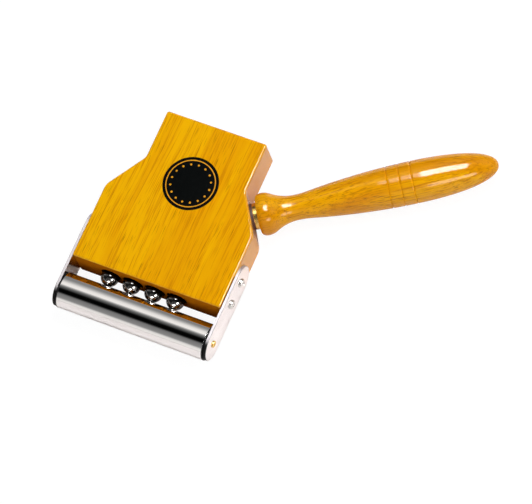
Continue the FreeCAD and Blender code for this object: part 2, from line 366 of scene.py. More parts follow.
@dataclass(frozen=True)
class LacqueredWood(Finish):
    """Amber-stained straight-grained wood under clear gloss lacquer. The grain runs along local Y."""

    pale: Colour
    amber: Colour
    streak: Colour
    pore: Colour
    specular: float
    gloss: float
    turn: float = 0.0
    seat: Point = (0.0, 0.0, 0.0)
    drift: float = 0.0
    ripple: float = 0.0
    faces: BlockFaces | None = None
    ring_slope: float = 0.38
    wander: Lumps = Lumps((34.0, 120.0, 34.0), 1.0)
    wander_reach: float = 9.0
    bands: Lumps = Lumps((9.0, 190.0, 60.0), 2.0, 0.6)
    band_edge: Pair = (0.36, 0.64)
    streaks: Lumps = Lumps((0.9, 42.0, 0.9), 3.0, 0.65)
    streak_edge: Pair = (0.50, 0.62)
    streak_share: float = 0.72
    streak_height: float = -0.25
    hairs: Lumps = Lumps((0.55, 15.0, 0.55), 1.0, 0.4)
    hair_edge: Pair = (0.62, 0.70)
    clusters: Lumps = Lumps((15.0, 40.0, 15.0))
    cluster_edge: Pair = (0.36, 0.60)
    pore_share: float = 0.7
    pore_height: float = -0.6
    pore_haze: float = 0.15
    smears: Lumps = Lumps((14.0, 22.0, 14.0), 3.0)
    smear_edge: Pair = (0.3, 0.7)
    smear_haze: float = 0.05
    dents: Lumps = Lumps((5.0, 9.0, 5.0), 1.0)
    depth: float = 0.012

    def surface(self, board: Board) -> dict[str, Any]:
        """Growth bands, fine streaks and short pores, and what differs on the faces of a block."""
        place = self.places(board, self.turn, self.seat)
        x, y, z = board.axes(place)
        wander = self.wander.over(place) - 0.5
        grain = board.joined(x + z * self.ring_slope + wander * self.wander_reach, y, z)
        bands = self.bands.over(grain)
        streaks = self.streaks.over(grain)
        clusters = self.clusters.over(place).rise(*self.cluster_edge)
        pores = self.hairs.over(grain).rise(*self.hair_edge) * clusters
        smears = self.smears.over(place).rise(*self.smear_edge)
        colour = (bands + x * self.drift).rise(*self.band_edge).mix(self.pale, self.amber)
        colour = (streaks.rise(*self.streak_edge) * self.streak_share).mix(colour, self.streak)
        colour = (pores * self.pore_share).mix(colour, self.pore)
        lacquer: Term | float = 0.0
        if self.faces is not None:
            colour, lacquer = self.faces.over(place, colour, self.pore)
        relief = streaks * self.streak_height + pores * self.pore_height
        relief = relief + self.dents.over(place) * self.ripple
        return {
            "Base Color": colour,
            "Roughness": smears * self.smear_haze + pores * self.pore_haze + self.gloss,
            "IOR": 1.5,
            "Specular IOR Level": self.specular,
            "Coat Weight": lacquer,
            "Coat Roughness": 0.06,
            "Normal": self.relief(relief, self.depth),
        }


@dataclass(frozen=True)
class StrapRim:
    """A strap's matt cut rim. Its nose, ahead of the tube's axis, is darker than its long edges: a painted
    dark reflection.
    """

    edge: Pair = (11.8, 12.0)
    nose: Pair = (2.0, 6.0)
    tint: Colour = (0.37, 0.35, 0.36)
    # painted dark reflection: the nose of the rim is near black
    painted_nose_reflection: Colour = (0.02, 0.02, 0.02)
    haze: float = 0.45

    def share(self, y: Term, z: Term) -> Term:
        """1 on the rim, 0 on the flat faces."""
        past = (y - TUBE_Y).maths("MINIMUM", 0.0) + (y - STRAP_REAR_Y).maths("MAXIMUM", 0.0)
        return past.hypot(z - MIDDLE).rise(*self.edge)


@dataclass(frozen=True)
class BrightMetal(Finish):
    """A plated or polished metal with hairlines that run one way.

    Lay is the size of a hairline, haze what smears add to the roughness. On a ball, a span of Y turns
    its tint to painted shade, black on the side that faces its hole.
    """

    tint: Colour
    shade: Colour
    gloss: float
    haze: float
    lay: Point
    hairline: float = 0.002
    rim: StrapRim | None = None
    # painted shade: the span of Y and the black that a ball turns to on the side facing its hole
    hole_shade_span: Pair | None = None
    hole_painted_shade: Colour = (0.02, 0.02, 0.02)
    smears: Lumps = Lumps((11.0, 11.0, 11.0), 3.0, 0.6)
    shade_edge: Pair = (0.4, 0.75)
    shade_share: float = 0.5
    line_share: float = 0.3
    haze_edge: Pair = (0.35, 0.75)

    def surface(self, board: Board) -> dict[str, Any]:
        """Hairlines in the relief, smears in the gloss, and on a strap its matt rim."""
        place = self.places(board)
        _, y, z = board.axes(place)
        lines = Lumps(self.lay, 3.0, 0.6).over(place)
        smears = self.smears.over(place)
        worn = smears.rise(*self.shade_edge) * self.shade_share + lines * self.line_share
        tone = worn.mix(self.tint, self.shade)
        roughness = smears.rise(*self.haze_edge) * self.haze + lines * (self.haze / 2) + self.gloss
        if self.rim is not None:
            share = self.rim.share(y, z)
            # painted dark reflection on the rim's nose
            nose = (TUBE_Y - y).rise(*self.rim.nose)
            tone = share.mix(tone, nose.mix(self.rim.tint, self.rim.painted_nose_reflection))
            roughness = roughness + share * self.rim.haze
        # painted shade on the side of a ball that faces its hole
        if self.hole_shade_span is not None:
            tone = y.rise(*self.hole_shade_span).mix(tone, self.hole_painted_shade)
        return {
            "Base Color": tone,
            "Metallic": 1.0,
            "Roughness": roughness,
            "Normal": self.relief(lines, self.hairline),
        }


@dataclass(frozen=True)
class Moulded(Finish):
    """Plastic, fibre or ink with a fine skin. Grain is the size of its pebbles, flecks are longer ones."""

    tint: Colour
    fleck: Colour
    gloss: float
    grain: float
    depth: float
    specular: float = 0.5
    fleck_shape: Point = (1 / 0.6, 1 / 0.2, 1 / 0.6)
    fleck_edge: Pair = (0.5, 0.75)
    pebble_haze: float = 0.15

    def surface(self, board: Board) -> dict[str, Any]:
        """A fine pebble in the relief, and flecks in the colour."""
        place = self.places(board)
        pebble = Lumps((self.grain,) * 3, 3.0, 0.6).over(place)
        flecks = Lumps(tuple(self.grain * part for part in self.fleck_shape)).over(place)
        return {
            "Base Color": flecks.rise(*self.fleck_edge).mix(self.tint, self.fleck),
            "Roughness": self.gloss + pebble * self.pebble_haze,
            "Specular IOR Level": self.specular,
            "Normal": self.relief(pebble, self.depth),
        }


@dataclass(frozen=True)
class StagePaper(Finish):
    """A pale paper floor, nearly white where it is seen, which still takes the object's shadow."""

    tint: Colour = (0.90, 0.90, 0.90)
    mirrored_tint: Colour = (0.94, 0.875, 0.86)
    mirrored_level: float = 0.88
    seen_share: float = 0.88
    seen_level: float = 1.06
    open_floor: Pair = (200.0, 600.0)

    def shader(self, board: Board) -> Node:
        """Diffuse paper, with white mixed in where the eye sees it and far out where a mirror does."""
        eye, mirror = seen_directly(board)
        x, y, _ = board.axes(self.places(board))
        far = x.hypot(y).rise(*self.open_floor)
        paper = board.node("ShaderNodeBsdfDiffuse", {"Color": mirror.mix(self.tint, self.mirrored_tint)})
        mirrored = tuple(self.mirrored_level * part for part in self.mirrored_tint)
        glow = mirror.mix((self.seen_level,) * 3, mirrored)
        white = board.node("ShaderNodeEmission", {"Color": glow})
        share = (eye * self.seen_share).maths("MAXIMUM", mirror * far)
        return board.node("ShaderNodeMixShader", {0: share, 1: paper.outputs[0], 2: white.outputs[0]})


def seen_directly(board: Board) -> tuple[Term, Term]:
    """Two terms: 1 for a ray from the eye or through glass, and 1 for a ray from a mirror."""
    path = board.node("ShaderNodeLightPath")
    eye = board.term(path, "Is Camera Ray").maths("MAXIMUM", board.term(path, "Is Transmission Ray"))
    return eye, board.term(path, "Is Glossy Ray")


class Finishes(Enum):
    """Every finish on the rattle."""

    BLOCK_WOOD = LacqueredWood(
        "block_wood",
        pale=(0.84, 0.425, 0.0012),
        amber=(0.78, 0.350, 0.0010),
        streak=(0.60, 0.205, 0.0010),
        pore=(0.30, 0.085, 0.0012),
        specular=0.0,
        gloss=0.14,
        drift=0.004,
        faces=BlockFaces(),
    )
    HANDLE_WOOD = LacqueredWood(
        "handle_wood",
        pale=(0.83, 0.385, 0.0015),
        amber=(0.70, 0.270, 0.0012),
        streak=(0.50, 0.160, 0.0010),
        pore=(0.24, 0.060, 0.0012),
        specular=0.25,
        gloss=0.05,
        turn=90.0 - HANDLE_SLOPE,
        seat=HANDLE_SEAT,
        ripple=0.1,
    )
    BRASS = BrightMetal("brass", (0.84, 0.56, 0.16), (0.62, 0.38, 0.09), 0.16, 0.08, (0.25,) * 3)
    POLISHED_STEEL = BrightMetal(
        "polished_steel", (0.96, 0.945, 0.94), (0.88, 0.865, 0.86), 0.12, 0.06, (0.2, 14, 0.2), rim=StrapRim()
    )
    SCREW_STEEL = BrightMetal("screw_steel", (0.80, 0.79, 0.77), (0.60, 0.59, 0.57), 0.14, 0.12, (0.5,) * 3)
    CHROME = BrightMetal("chrome", (0.9, 0.9, 0.895), (0.84, 0.84, 0.835), 0.02, 0.03, (1 / 6, 8, 8), 0.0005)
    BALL_STEEL = BrightMetal(
        "ball_steel", (0.38, 0.37, 0.36), (0.32, 0.31, 0.30), 0.04, 0.02, (1 / 0.3,) * 3, 0.0002,
        # painted shade on the side of each ball that faces its hole
        hole_shade_span=(-64, -62.8),
    )
    FIBRE = Moulded("fibre", (0.055, 0.014, 0.006), (0.10, 0.03, 0.012), 0.55, 0.5, 0.05)
    BLACK_PLASTIC = Moulded("black_plastic", (0.004, 0.004, 0.0045), (0.008,) * 3, 0.30, 0.35, 0.01, 0.3)
    PRINT_BLACK = Moulded(
        "print_black", (0.0006, 0.0012, 0.0012), (0.0015, 0.0024, 0.0024), 0.24, 0.8, 0.004, 0.02
    )
    PRINT_AMBER = Moulded("print_amber", (0.76, 0.33, 0.004), (0.66, 0.25, 0.003), 0.24, 0.8, 0.004, 0.1)

    @property
    def slot(self) -> str:
        """The name of its material slot. A print belongs to the block that it is on."""
        return "block_wood" if self.value.name.startswith("print_") else self.value.name


class Paints:
    """The materials made so far, one for each finish."""

    def __init__(self) -> None:
        """Start with none."""
        self._made: dict[Finishes, Material] = {}

    def __getitem__(self, finish: Finishes) -> Material:
        """The material of a finish, made when it is first asked for."""
        if finish not in self._made:
            self._made[finish] = finish.value.material()
        return self._made[finish]


# ---- growing meshes


def linked(name: str, data: ID) -> Object:
    """A new object in the scene that shows the data."""
    made = bpy.data.objects.new(name, data)
    bpy.context.scene.collection.objects.link(made)
    return made


def scrap(*objects: Object) -> None:
    """Remove objects that only helped to make others."""
    for thing in objects:
        bpy.data.objects.remove(thing)


def settle(thing: Object) -> None:
    """Make an object's modified mesh its plain mesh, with no modifier left."""
    bpy.context.view_layer.update()
    mesh = bpy.data.meshes.new_from_object(thing.evaluated_get(bpy.context.evaluated_depsgraph_get()))
    thing.modifiers.clear()
    thing.data = mesh


def close_up(mesh: Mesh, crease: float) -> None:
    """Turn a closed mesh's faces outwards and shade it.

    Args:
        mesh: the mesh.
        crease: the angle in degrees above which an edge stays sharp.
    """
    shell = bmesh.new()
    shell.from_mesh(mesh)
    bmesh.ops.remove_doubles(shell, verts=shell.verts, dist=1e-6)
    bmesh.ops.recalc_face_normals(shell, faces=shell.faces)
    shell.to_mesh(mesh)
    shell.free()
    mesh.shade_smooth()
    mesh.set_sharp_from_angle(angle=math.radians(crease))


class Recipe:
    """A Geometry Nodes tree with named inputs, which grows plain meshes."""

    def __init__(self, name: str, **inputs: str) -> None:
        """Start a tree.

        Args:
            name: the tree's name.
            inputs: the kind of socket of each named input.
        """
        self.tree = bpy.data.node_groups.new(name, "GeometryNodeTree")
        self.board = Board(self.tree)
        for label, kind in (inputs | {"Finish": "Material"}).items():
            self.tree.interface.new_socket(label, in_out="INPUT", socket_type=f"NodeSocket{kind}")
        self.tree.interface.new_socket("Mesh", in_out="OUTPUT", socket_type="NodeSocketGeometry")
        self._given = self.board.node("NodeGroupInput")

    def given(self, label: str) -> Term:
        """A named input."""
        return self.board.term(self._given, label)

    def shape(self, label: str) -> NodeSocket:
        """The geometry of an object that is a named input."""
        return self.board.node("GeometryNodeObjectInfo", {"Object": self.given(label)}).outputs["Geometry"]

    def close(self, last: Node) -> None:
        """End the tree after a node: real mesh, with its finish on it."""
        real = self.board.node("GeometryNodeRealizeInstances", {"Geometry": last.outputs[0]})
        sockets = {"Geometry": real.outputs[0], "Material": self.given("Finish")}
        dressed = self.board.node("GeometryNodeSetMaterial", sockets)
        self.board.node("NodeGroupOutput", {0: dressed.outputs[0]})

    def grow(self, name: str, values: Mapping[str, Any], crease: float = CREASE) -> Object:
        """Grow one plain mesh.

        Args:
            name: the new object's name.
            values: a value for each named input.
            crease: the angle in degrees above which an edge stays sharp.

        Returns:
            The object, at the origin, with no modifier left on it.
        """
        host = linked(name, bpy.data.meshes.new(name))
        modifier = host.modifiers.new("recipe", "NODES")
        modifier.node_group = self.tree
        for item in self.tree.interface.items_tree:
            if item.in_out == "INPUT" and item.name in values:
                modifier[item.identifier] = values[item.name]
        settle(host)
        close_up(host.data, crease)
        return host


@dataclass(frozen=True)
class Turning:
    """A piece for the lathe.

    Its outline has (station, radius) points in millimetres, from axis to axis or closed on itself. Station 0
    is at the seat, and stations run in the direction given. Turns are steps round the axis.
    """

    name: str
    outline: Outline
    seat: Point
    direction: Point
    finish: Finishes
    turns: int = 96
    crease: float = CREASE


class Lathe:
    """Turns an outline about its axis."""

    def __init__(self) -> None:
        """Wire the tree: a grid of outline points by turns, wrapped round the axis and seated."""
        self.recipe = Recipe("lathe", Outline="Object", Turns="Int", Seat="Vector", Direction="Vector")
        board, given = self.recipe.board, self.recipe.given
        outline = self.recipe.shape("Outline")
        size = board.node("GeometryNodeAttributeDomainSize", {"Geometry": outline})
        turns = given("Turns")
        columns = turns + 1.0
        sockets = {"Vertices X": board.term(size, "Point Count"), "Vertices Y": columns}
        grid = board.node("GeometryNodeMeshGrid", sockets)
        index = board.term(board.node("GeometryNodeInputIndex"))
        row = (index / columns + 1e-4).whole()
        angle = (index - row * columns) / turns * math.tau
        place = board.node("GeometryNodeInputPosition").outputs[0]
        sockets = {"Geometry": outline, "Value": place, "Index": row}
        sample = board.node("GeometryNodeSampleIndex", sockets, {"data_type": "FLOAT_VECTOR"})
        station, radius, _ = board.axes(board.term(sample))
        wrapped = board.joined(station, radius * angle.maths("COSINE"), radius * angle.maths("SINE"))
        skin = board.node("GeometryNodeSetPosition", {"Geometry": grid.outputs[0], "Position": wrapped})
        whole = board.node("GeometryNodeMergeByDistance", {0: skin.outputs[0], "Distance": 1e-6})
        aim = board.node("FunctionNodeAlignRotationToVector", {"Vector": given("Direction")}, {"axis": "X"})
        sockets = {"Geometry": whole.outputs[0], "Translation": given("Seat"), "Rotation": aim.outputs[0]}
        self.recipe.close(board.node("GeometryNodeTransform", sockets))

    def turn(self, plan: Turning, finish: Material) -> Object:
        """Turn one piece.

        Args:
            plan: what to turn.
            finish: the piece's material.

        Returns:
            The piece.
        """
        mesh = bpy.data.meshes.new("outline")
        points = [(station * MM, max(radius, 0.0) * MM, 0.0) for station, radius in plan.outline]
        mesh.from_pydata(points, [(i, i + 1) for i in range(len(points) - 1)], [])
        pattern = linked("outline", mesh)
        seat = Vector(plan.seat) * MM
        values = {"Outline": pattern, "Turns": plan.turns, "Seat": seat, "Direction": plan.direction}
        piece = self.recipe.grow(plan.name, values | {"Finish": finish}, plan.crease)
        scrap(pattern)
        return piece


def softened(corners: Sequence[tuple[float, float, float]], steps: int = 4) -> Outline:
    """Round the corners of an open outline.

    A guard point beside each rounding keeps the shading of the straight stretch next to it flat.

    Args:
        corners: (station, radius, rounding) of each corner, in millimetres.
        steps: points on each rounding.

    Returns:
        The outline.
    """
    made: Outline = []
    for i, (station, radius, rounding) in enumerate(corners):
        if rounding <= 0 or i in (0, len(corners) - 1):
            made.append((station, radius))
            continue
        here = Vector((station, radius))
        before = (Vector(corners[i - 1][:2]) - here).normalized() * rounding
        after = (Vector(corners[i + 1][:2]) - here).normalized() * rounding
        made.append(tuple(here + before * GUARD))
        for k in range(steps + 1):
            t = k / steps
            made.append(tuple(here + before * (1 - t) ** 2 + after * t**2))
        made.append(tuple(here + after * GUARD))
    return made


def ring(stations: Pair, radii: Pair, roundings: Point = (0.0, 0.0, 0.0), steps: int = 4) -> Outline:
    """The outline of a ring, closed on itself.

    Args:
        stations: its first and last stations, in millimetres.
        radii: its inner and outer radii.
        roundings: of its first outer, last outer and last inner edges.
        steps: points on each rounding.

    Returns:
        The outline.
    """
    (start, end), (inner, outer) = stations, radii
    edges = ((start, outer), (end, outer), (end, inner))
    rounded = [(*edge, rounding) for edge, rounding in zip(edges, roundings)]
    return softened([(start, inner, 0.0), *rounded, (start, inner, 0.0)], steps)


# ---- the rattle


class Maker:
    """Shared tools of the sub-assemblies."""

    def __init__(self, paints: Paints, lathe: Lathe) -> None:
        """Take the materials and the lathe."""
        self.paints = paints
        self.lathe = lathe

    def mount(self, piece: Object, body: str, slot: str, replaces: Sequence[str] = ()) -> None:
        """Let a piece ride on a body.

        Args:
            piece: the finished piece.
            body: the CAD body that it moves with.
            slot: the name of a material slot; not used.
            replaces: the CAD nodes that it stands for.
        """
        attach(piece, body)
        if replaces:
            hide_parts(*replaces)
        LOG.info("%s: %d faces, on %s", piece.name, len(piece.data.polygons), body)

    def turn(self, plan: Turning, *replaces: str, body: str = "body") -> None:
        """Turn a piece that stands for some CAD nodes, and mount it on a body."""
        self.mount(self.lathe.turn(plan, self.paints[plan.finish]), body, plan.finish.slot, replaces)

    def dress(self, finish: Finishes, *nodes: str) -> None:
        """Give CAD nodes that stay a finish."""
        for name in nodes:
            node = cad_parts[name]
            if not node.material_slots:
                node.data.materials.append(None)
            for slot in node.material_slots:
                slot.material = self.paints[finish]
            LOG.info("%s: dressed as %s", name, finish.value.name)


@dataclass
class Block:
    """The necked wooden block and the printed disc on it."""

    maker: Maker
    top: float = 27.5
    disc_centre: Pair = (-0.2, 15.75)
    disc_radius: float = 19.8
    disc_thickness: float = 0.05
    ink_thickness: float = 0.02
    ring_radius: float = 17.3
    ring_width: float = 0.7
    dot_count: int = 16
    dot_circle: float = 14.2
    dot_radius: float = 0.75
    dot_sides: int = 24
    turns: int = 128

    def build(self) -> None:
        """Dress the block and print its disc, a circle of dots and a thin ring."""
        self.maker.dress(Finishes.BLOCK_WOOD, "body_block")
        thick, radius = self.disc_thickness, self.disc_radius
        disc = softened([(0, 0, 0), (0, radius, 0), (thick, radius, thick / 2), (thick, 0, 0)])
        self.printed("printed_disc", disc, self.top, Finishes.PRINT_BLACK)
        level, half = self.top + thick, self.ring_width / 2
        self.dots(level)
        circle = ring((0, self.ink_thickness), (self.ring_radius - half, self.ring_radius + half))
        self.printed("printed_ring", circle, level, Finishes.PRINT_AMBER)

    def printed(self, name: str, outline: Outline, level: float, finish: Finishes) -> None:
        """Turn one round print about the disc's centre, from a level up."""
        self.maker.turn(Turning(name, outline, (*self.disc_centre, level), UPWARDS, finish, self.turns))

    def dots(self, level: float) -> None:
        """A circle of dots, from a level up."""
        recipe = Recipe(
            "dot_circle", Centre="Vector", Circle="Float", Dots="Int", Dot="Float", Height="Float"
        )
        board, given = recipe.board, recipe.given
        circle = board.node("GeometryNodeMeshCircle", {"Vertices": given("Dots"), "Radius": given("Circle")})
        sockets = {"Vertices": self.dot_sides, "Radius": given("Dot"), "Depth": given("Height")}
        dot = board.node("GeometryNodeMeshCylinder", sockets)
        sockets = {"Points": circle.outputs[0], "Instance": dot.outputs["Mesh"]}
        dots = board.node("GeometryNodeInstanceOnPoints", sockets)
        sockets = {"Geometry": dots.outputs[0], "Translation": given("Centre")}
        recipe.close(board.node("GeometryNodeTransform", sockets))
        values = {
            "Centre": Vector((*self.disc_centre, level + self.ink_thickness / 2)) * MM,
            "Circle": self.dot_circle * MM,
            "Dots": self.dot_count,
            "Dot": self.dot_radius * MM,
            "Height": self.ink_thickness * MM,
            "Finish": self.maker.paints[Finishes.PRINT_AMBER],
        }
        self.maker.mount(recipe.grow("printed_dots", values), "body", "block_wood")


@dataclass
class Handle:
    """The turned handle on its brass ferrule and fibre washer. Stations run out from the shoulder.

    Washer and ferrule are (diameter, length), bulb, waist and grip (station, diameter). A share is that of
    the first of two arcs, a round how long a curve keeps to its two end directions.
    """

    maker: Maker
    reach: float = 172.0
    washer: Pair = (18.2, 1.6)
    washer_roundings: Point = (0.2, 0.3, 0.0)
    ferrule: Pair = (18.6, 2.9)
    ferrule_roundings: Point = (0.35, 0.35, 0.0)
    ferrule_steps: int = 5
    bulb_face: float = 24.4
    bulb: Pair = (9.2, 29.6)
    waist: Pair = (31.0, 17.6)
    grip: Pair = (114.0, 29.6)
    bulb_share: float = 0.277
    grip_share: float = 0.12
    bulb_round: Pair = (0.55, 0.55)
    tip_round: Pair = (0.65, 0.60)
    steps: tuple[int, int, int, int] = (14, 26, 80, 44)
    groove_count: int = 3
    groove_pitch: float = 8.5
    groove_middle: float = 104.5
    groove_half: float = 0.5
    groove_depth: float = 0.5
    groove_margin: float = 0.15
    groove_points: int = 9
    groove_power: float = 0.9
    stud_radius: float = 3.0
    turns: int = 112
    crease: float = 50.0

    @property
    def face(self) -> float:
        """The station of the bulb's flat face."""
        return self.washer[1] + self.ferrule[1]

    @staticmethod
    def level_bend(start: Sequence[float], end: Sequence[float], share: float, steps: int) -> Outline:
        """Two tangent arcs, level at both ends.

        Args:
            start: (station, radius) of the first end.
            end: (station, radius) of the other.
            share: the first arc's share of the stretch.
            steps: points on the whole bend.

        Returns:
            Its points, from start up to end.
        """
        reach, rise = end[0] - start[0], end[1] - start[1]
        slope = math.atan2(abs(rise), reach)
        made = []
        for k in range(steps + 1):
            station = reach * k / steps
            first = station <= reach * share
            radius = reach * (share if first else 1 - share) / math.sin(2 * slope)
            away = station if first else reach - station
            sag = math.copysign(radius - math.sqrt(max(radius * radius - away * away, 0.0)), rise)
            made.append((start[0] + station, start[1] + sag if first else end[1] - sag))
        return made

    @staticmethod
    def quarter_round(level: Sequence[float], upright: Sequence[float], shares: Pair, steps: int) -> Outline:
        """A curve that is level at one end and upright at the other.

        Args:
            level: (station, radius) where it is level.
            upright: (station, radius) where it is upright.
            shares: how long it keeps to its two end directions.
            steps: points on the curve.

        Returns:
            Its points, from level to upright.
        """
        poles = [
            Vector(level),
            Vector((level[0] + (upright[0] - level[0]) * shares[0], level[1])),
            Vector((upright[0], upright[1] + (level[1] - upright[1]) * shares[1])),
            Vector(upright),
        ]
        made = []
        for k in range(steps + 1):
            t = k / steps
            weights = ((1 - t) ** 3, 3 * t * (1 - t) ** 2, 3 * t * t * (1 - t), t**3)
            made.append(tuple(sum((w * p for w, p in zip(weights, poles)), Vector((0.0, 0.0)))))
        return made

    def bare_outline(self) -> Outline:
        """The handle's outline without its grooves, from the bulb's face to the tip."""
        bulb, waist, grip = ((station, width / 2) for station, width in (self.bulb, self.waist, self.grip))
        made = self.quarter_round(bulb, (self.face, self.bulb_face / 2), self.bulb_round, self.steps[0])[::-1]
        made += self.level_bend(bulb, waist, self.bulb_share, self.steps[1])[1:]
        made += self.level_bend(waist, grip, self.grip_share, self.steps[2])[1:]
        return made + self.quarter_round(grip, (self.reach, 0.0), self.tip_round, self.steps[3])[1:]

    def outline(self) -> Outline:
        """The outline with its grooves, closed on the axis."""
        bare = self.bare_outline()
        swell = next(i for i, (station, _) in enumerate(bare) if station >= self.grip[0]) + 1
        stations, radii = zip(*bare[:swell])
        first = self.groove_middle - self.groove_pitch * (self.groove_count - 1) / 2
        grooves = [first + self.groove_pitch * i for i in range(self.groove_count)]
        margin = self.groove_half + self.groove_margin
        lead = [(a, r) for a, r in bare[:swell] if all(abs(a - groove) > margin for groove in grooves)]
        for groove in grooves:
            for offset in np.linspace(-self.groove_half, self.groove_half, self.groove_points):
                depth = self.groove_depth * max(0.0, 1 - abs(offset) / self.groove_half) ** self.groove_power
                radius = float(np.interp(groove + offset, stations, radii))
                lead.append((groove + float(offset), radius - depth))
        return [(self.face, 0.0), *sorted(lead), *bare[swell:]]

    def build(self) -> None:
        """Turn the handle, its ferrule and its washer."""
        brass = ring(
            (self.washer[1], self.face),
            (self.stud_radius, self.ferrule[0] / 2),
            self.ferrule_roundings,
            self.ferrule_steps,
        )
        fibre = ring((0.0, self.washer[1]), (self.stud_radius, self.washer[0] / 2), self.washer_roundings)
        for name, outline, finish, node, *steps in (
            ("turned_handle", self.outline(), Finishes.HANDLE_WOOD, "handle", self.turns, self.crease),
            ("brass_ferrule", brass, Finishes.BRASS, "handle_ferrule"),
            ("fibre_washer", fibre, Finishes.FIBRE, "handle_washer"),
        ):
            self.maker.turn(Turning(name, outline, HANDLE_SEAT, ALONG_HANDLE, finish, *steps), node)
        self.maker.dress(Finishes.SCREW_STEEL, "handle_stud")


@dataclass
class Roller:
    """The chrome tube with its plastic end caps, on the brass axle between the straps."""

    maker: Maker
    side: float = 56.4
    radius: float = 12.7
    wall: float = 1.2
    tube_roundings: Point = (0.06, 0.06, 0.1)
    tube_turns: int = 160
    spacer_thickness: float = 0.5
    spacer_radius: float = 5.0
    spacer_roundings: Point = (0.1, 0.1, 0.0)
    spacer_turns: int = 64
    end_play: float = 0.15
    flange: float = 0.8
    flange_roundings: Pair = (0.25, 0.15)
    cap_depth: float = 7.0
    cap_wall: float = 1.8
    cap_web: float = 2.0
    cap_lead: float = 0.5
    cap_rim: float = 0.3
    cap_fillet: float = 0.6
    cap_turns: int = 128
    hub_radius: float = 5.5
    bore: float = 2.6
    axle_radius: float = 2.5
    axle_proud: float = 0.9
    axle_rounding: float = 0.5
    axle_end: float = 3.0
    axle_turns: int = 48
    strap_thickness: float = 2.0
    dimple: Pair = (1.2, 0.9)
    dimple_rounding: float = 0.1

    @property
    def cap_face(self) -> float:
        """The X of the right cap's outer face."""
        return self.side - self.spacer_thickness - self.end_play

    def build(self) -> None:
        """Turn the tube, the caps, the spacers and the axle."""
        end = self.cap_face - self.flange
        tube = ring((-end, end), (self.radius - self.wall, self.radius), self.tube_roundings)
        spacer = ring((0.0, -self.spacer_thickness), (self.bore, self.spacer_radius), self.spacer_roundings)
        turn, centre = self.maker.turn, (0.0, TUBE_Y, MIDDLE)
        plan = Turning("chrome_tube", tube, centre, ALONG_X, Finishes.CHROME, self.tube_turns)
        turn(plan, "roller_tube", body="roller")
        for name, sign in (("left", -1.0), ("right", 1.0)):
            out, seat = (sign, 0.0, 0.0), (sign * self.cap_face, *centre[1:])
            plan = Turning(f"cap_{name}", self.cap(), seat, out, Finishes.BLACK_PLASTIC, self.cap_turns)
            turn(plan, f"end_cap_{name}", body="roller")
            seat = (sign * self.side, *centre[1:])
            plan = Turning(f"washer_{name}", spacer, seat, out, Finishes.SCREW_STEEL, self.spacer_turns)
            turn(plan, f"spacer_{name}")
        turn(Turning("brass_axle", self.axle(), centre, ALONG_X, Finishes.BRASS, self.axle_turns), "axle")

    def cap(self) -> Outline:
        """An end cap's outline, with a rounded flange and a moulded step round its hub."""
        fit = self.radius - self.wall
        inside, floor = fit - self.cap_wall, -self.flange - self.cap_depth
        return softened(
            [
                (0, self.bore, 0),
                (0, self.radius, self.flange_roundings[0]),
                (-self.flange, self.radius, self.flange_roundings[1]),
                (-self.flange, fit, 0),
                (floor, fit, self.cap_lead),
                (floor, inside, self.cap_rim),
                (-self.cap_web, inside, self.cap_fillet),
                (-self.cap_web, self.hub_radius, self.cap_fillet),
                (floor, self.hub_radius, self.cap_rim),
                (floor, self.bore, 0),
                (0, self.bore, 0),
            ]
        )

    def axle(self) -> Outline:
        """The brass rod's outline, centre-drilled at both ends."""
        end = self.side + self.strap_thickness + self.axle_proud
        width, depth = self.dimple
        half = softened(
            [
                (end - depth, 0, 0),
                (end, width, self.dimple_rounding),
                (end, self.axle_radius, self.axle_rounding),
                (end - self.axle_end, self.axle_radius, 0),
            ]
        )
        return half + [(-station, radius) for station, radius in reversed(half)]


